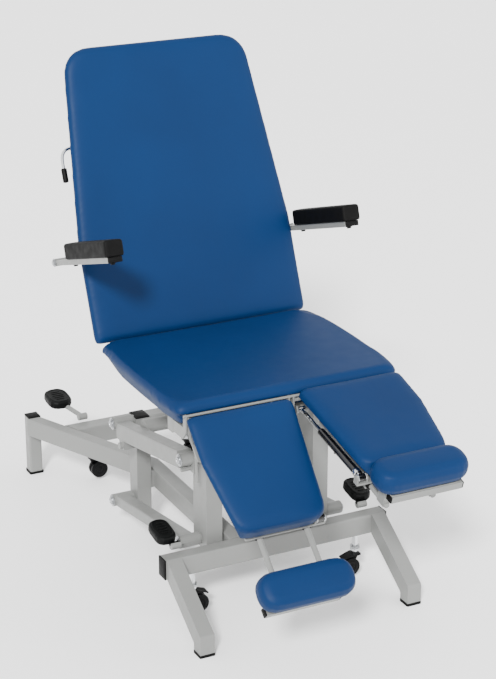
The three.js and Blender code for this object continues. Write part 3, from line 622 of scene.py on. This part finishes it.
def pedal_treads():
    for name, (y, z, px, py, pz, half_x, half_y) in PEDALS.items():
        tilt = math.atan2(pz - z, py - y)
        place = Matrix.Translation(Vector((px, py, pz))) @ Matrix.Rotation(tilt, 4, "X")
        bm = bmesh.new()
        rim(bm, half_x, half_y, 3.2, 24, place)
        for k in range(-2, 3):
            width = half_x * 1.26 - abs(k) * 5
            soft_box(bm, (width, 4.4, 2.6), (0, k * half_y * 0.28, 24.2), 1.1, 3, place)
        new_piece(f"pedal_tread_{name}", bm, TABLE, f"pedal_{name}", "pedal", 35)
        paint_pedal_arm(NODES[f"pedal_{name}"], place.inverted())


def paint_pedal_arm(node, into_pad):
    """Gives the arm and knuckle of a pedal the frame's paint and leaves the pad black."""
    node.data.materials.append(FINISH["frame_paint"])
    for face in node.data.polygons:
        point = into_pad @ (node.matrix_world @ face.center * 1000 - Vector((0, ORIGIN_Y, 0)))
        on_pad = abs(point.x) < 35 and abs(point.y) < 47 and -1 < point.z < 25
        face.material_index = 0 if on_pad else 1


def rim(bm, half_x, half_y, width, z, place, rise=1.5, segments=64):
    """Adds a raised rounded band that follows an oval."""
    sections = []
    for i in range(segments):
        a = 2 * math.pi * i / segments
        c, s = math.cos(a), math.sin(a)
        out = Vector((math.copysign(abs(c) ** 0.7, c) * half_x,
                      math.copysign(abs(s) ** 0.7, s) * half_y, 0))
        along = out.normalized()
        ring = []
        for j in range(10):
            b = 2 * math.pi * j / 10
            point = out + along * (math.cos(b) * width / 2) + Vector((0, 0, z + math.sin(b) * rise))
            ring.append(bm.verts.new(place @ point))
        sections.append(ring)
    for first, second in zip(sections, sections[1:] + sections[:1]):
        for j in range(10):
            k = (j + 1) % 10
            bm.faces.new((first[j], second[j], second[k], first[k]))


def castor_trim():
    for name, (x, y, turn) in CASTORS.items():
        bm = bmesh.new()
        profile = [(0, 0), (17, 0), (17.5, 0.8), (15, 1.3), (14, 0.7), (8, 0.7), (7.2, 1.8),
                   (3.2, 2.2), (2.4, 1.2), (0, 1.2)]
        for s in (-1, 1):
            spot = facing((0, s, 0), (x + CASTOR_TRAIL * turn, y + s * 12.6, CASTOR_AXLE_Z))
            turned(bm, profile, 40, spot)
        new_piece(f"castor_hub_{name}", bm, TABLE, f"castor_wheels_{name}", "castor_plastic",
                  35)
        bm = bmesh.new()
        turned(bm, [(8.2, 82), (13.5, 82), (14.5, 83), (14.5, 88), (13, 89.5), (8.2, 89.5), (8.2, 82)], 6,
               Matrix.Translation(Vector((x, y, 0))))
        bmesh.ops.remove_doubles(bm, verts=bm.verts, dist=1e-4)
        new_piece(f"castor_nut_{name}", bm, TABLE, f"castor_stem_{name}", "zinc", 30)


def leg_trim():
    for side, s in SIDES:
        far = FOOT_NEAR[side] - FOOT_DEPTH
        for key, axis in (("inner", -s), ("outer", s)):
            plug(f"foot_tube_cap_{key}_{side}", (s * TUBE_X[key], far + 17, -6.35), (18, 22),
                 (axis, 0, 0), f"foot_{side}", LEG[side])
        for key, x in ROD_X.items():
            collar(f"rod_bush_{key}_{side}", (s * x, -306, ROD_Z), (0, -1, 0), 7.4, 12.4, 9,
                   f"leg_{side}", LEG[side])


def strut_fittings():
    """Polished end fittings where each leg strut meets its leg section."""
    for side, s in SIDES:
        drop = math.radians(LEG_DROP[side])
        y, z = STRUT_LEG
        eye = Vector((s * STRUT_X, LEG_HINGE[0] + y * math.cos(drop) - z * math.sin(drop),
                      LEG_HINGE[1] + y * math.sin(drop) + z * math.cos(drop)))
        seat = Vector((s * STRUT_X, *STRUT_SEAT))
        bm = bmesh.new()
        turned(bm, [(0, 7), (7, 7), (7, 12), (10.6, 15), (10.6, 27), (9.9, 28), (0, 28)], 32,
               facing(seat - eye, eye))
        for x in (-1, 1):
            turned(bm, [(0, 9), (9, 9), (9.6, 9.6), (9.6, 10.4), (9, 10.8), (0, 10.8)], 32,
                   facing((x, 0, 0), eye))
        new_piece(f"strut_fitting_{side}", bm, TABLE, f"leg_strut_barrel_{side}", "chrome", 35)


def lever_trim():
    place = facing((0, -1, 0), LEVER)
    bm = bmesh.new()
    profile = [(0, -2), (6.6, -2), (7.6, 0)]
    for k in range(6):
        profile += [(7.9, 3 + k * 5), (7.3, 5 + k * 5)]
    profile += [(7.6, 32), (6.8, 34), (4, 35.5), (0, 36)]
    turned(bm, profile, 32, place)
    new_piece("lever_grip", bm, BACK, "back_lever", "cap", 50)


def arm_trim():
    """Plugs, screws and pivot bolts of the armrest bars."""
    for side, s in SIDES:
        plug(f"arm_bar_cap_{side}", (s * ARM_X, -380.4, -0.9), (38, 14), (0, -1, 0), f"arm_{side}", ARM)
        bm = bmesh.new()
        for y in (-104, -364):
            hex_bolt(bm, facing((0, 0, -1), (s * ARM_X, y, -7.9)), 10, 4)
        new_piece(f"arm_screws_{side}", bm, ARM, f"arm_{side}", "cap", 30)
        bm = bmesh.new()
        hex_bolt(bm, facing((s, 0, 0), (s * 350, 0, 0)), 13, 4)
        new_piece(f"arm_pivot_bolt_{side}", bm, ARM, f"arm_{side}", "zinc", 30)


def seat_trim():
    for side, s in SIDES:
        plug(f"seat_rail_cap_{side}", mirrored(SEAT_RAIL, s), (40, 39), (0, -1, 0), "carriage")
        plug(f"seat_cross_cap_{side}", mirrored(SEAT_CROSS, s), (39, 30), (s, 0, 0), "carriage")


# ---- setting ------------------------------------------------------------------------
def make_setting():
    bpy.ops.mesh.primitive_plane_add(size=60, location=(0, 0, 0))
    floor = bpy.context.object
    floor.name = "floor"
    floor.data.materials.append(floor_finish())
    world = bpy.data.worlds.new("studio")
    SCENE.world = world
    world.use_nodes = True
    background = world.node_tree.nodes["Background"]
    background.inputs["Color"].default_value = (1, 1, 1, 1)
    background.inputs["Strength"].default_value = 1.7
    target = at(*LIGHT_AIM)
    lamp("key", (-2.6, -3.4, 3.6), math.radians(9), 6.0, target, "SUN")
    lamp("fill", (3.2, -2.6, 2.2), 3.0, 60, target)
    camera_data = bpy.data.cameras.new("camera")
    camera_data.lens = FOCAL_LENGTH * SENSOR / FRAME_HEIGHT
    camera_data.sensor_width = SENSOR
    camera_data.clip_end = 100
    camera = bpy.data.objects.new("camera", camera_data)
    SCENE.collection.objects.link(camera)
    camera.location = at(*CAMERA_PLACE)
    aim = at(*CAMERA_AIM) - camera.location
    camera.rotation_euler = aim.to_track_quat("-Z", "Y").to_euler()
    SCENE.camera = camera


def lamp(name, place, size, power, target, kind="AREA"):
    data = bpy.data.lights.new(name, kind)
    data.energy = power
    if kind == "SUN":
        data.angle = size
    else:
        data.shape = "DISK"
        data.size = size
    light = bpy.data.objects.new(name, data)
    SCENE.collection.objects.link(light)
    light.location = place
    light.rotation_euler = (target - light.location).to_track_quat("-Z", "Y").to_euler()


finish_nodes()
make_cushions()
base_trim()
lift_trim()
pedal_treads()
castor_trim()
leg_trim()
strut_fittings()
lever_trim()
arm_trim()
seat_trim()
make_setting()
